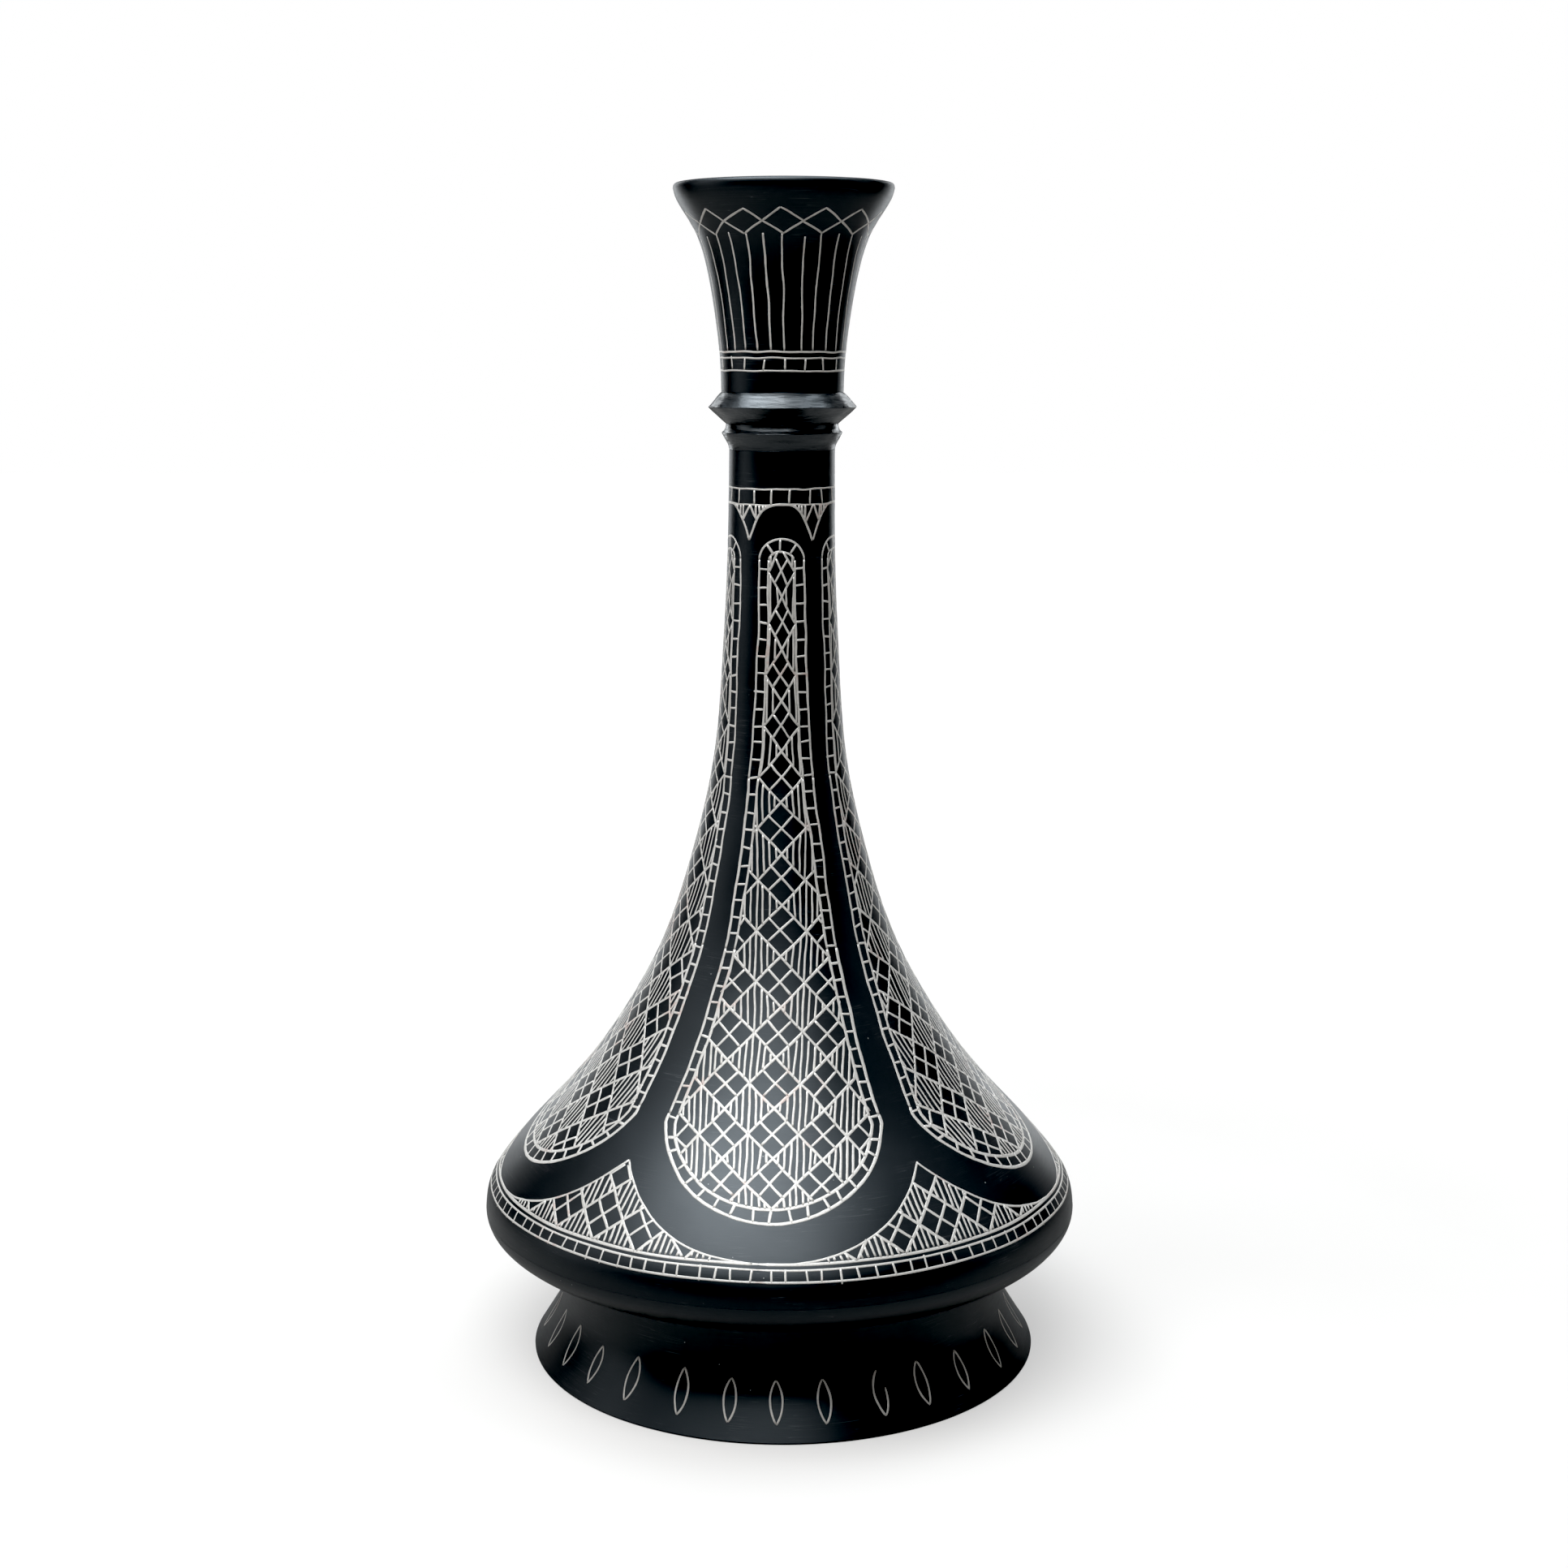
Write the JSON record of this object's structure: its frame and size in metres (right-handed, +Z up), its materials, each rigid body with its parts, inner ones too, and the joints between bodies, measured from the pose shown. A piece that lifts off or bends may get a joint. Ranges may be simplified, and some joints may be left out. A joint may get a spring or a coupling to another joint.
{
  "type": "inlaid metal flask (bidri surahi)",
  "caption": "Long-necked black metal flask with flared mouth and foot, a bell body, and geometric silver wire inlay in panels.",
  "frame": {"origin": "centre of the foot's lower edge, on the flask's axis, in the plane it stands on", "axes": "+Z up the flask's axis to the mouth; the middle of the front panel faces -Y; +X to the right of that panel"},
  "size_m": [0.1052, 0.1052, 0.204],
  "materials": {
    "black_alloy": "zinc and copper alloy blackened with earth paste, satin, oiled",
    "silver_wire": "fine silver, filed flush, satin, slightly tarnished",
    "solder": "dull grey tin solder"
  },
  "bodies": {
    "root": {"bell_and_neck": "black_alloy", "foot_leaves": "silver_wire", "foot_ring": "black_alloy", "foot_solder": "solder", "lower_bowl": "black_alloy", "lower_collar": "black_alloy", "mouth_cup": "black_alloy", "mouth_diamonds": "silver_wire", "mouth_flutes": "silver_wire", "mouth_rings": "silver_wire", "mouth_ticks": "silver_wire", "neck_rings": "silver_wire", "neck_solder": "solder", "neck_ticks": "silver_wire", "panel_1_hatch": "silver_wire", "panel_1_net": "silver_wire", "panel_1_outline": "silver_wire", "panel_1_rungs": "silver_wire", "panel_2_hatch": "silver_wire", "panel_2_net": "silver_wire", "panel_2_outline": "silver_wire", "panel_2_rungs": "silver_wire", "panel_3_hatch": "silver_wire", "panel_3_net": "silver_wire", "panel_3_outline": "silver_wire", "panel_3_rungs": "silver_wire", "panel_4_hatch": "silver_wire", "panel_4_net": "silver_wire", "panel_4_outline": "silver_wire", "panel_4_rungs": "silver_wire", "panel_5_hatch": "silver_wire", "panel_5_net": "silver_wire", "panel_5_outline": "silver_wire", "panel_5_rungs": "silver_wire", "pendant_hatch": "silver_wire", "pendant_outlines": "silver_wire", "shoulder_rings": "silver_wire", "shoulder_solder": "solder", "shoulder_ticks": "silver_wire", "spandrel_1_hatch": "silver_wire", "spandrel_1_net": "silver_wire", "spandrel_1_outline": "silver_wire", "spandrel_2_hatch": "silver_wire", "spandrel_2_net": "silver_wire", "spandrel_2_outline": "silver_wire", "spandrel_3_hatch": "silver_wire", "spandrel_3_net": "silver_wire", "spandrel_3_outline": "silver_wire", "spandrel_4_hatch": "silver_wire", "spandrel_4_net": "silver_wire", "spandrel_4_outline": "silver_wire", "spandrel_5_hatch": "silver_wire", "spandrel_5_net": "silver_wire", "spandrel_5_outline": "silver_wire", "upper_collar": "black_alloy"}
  },
  "joints": []
}
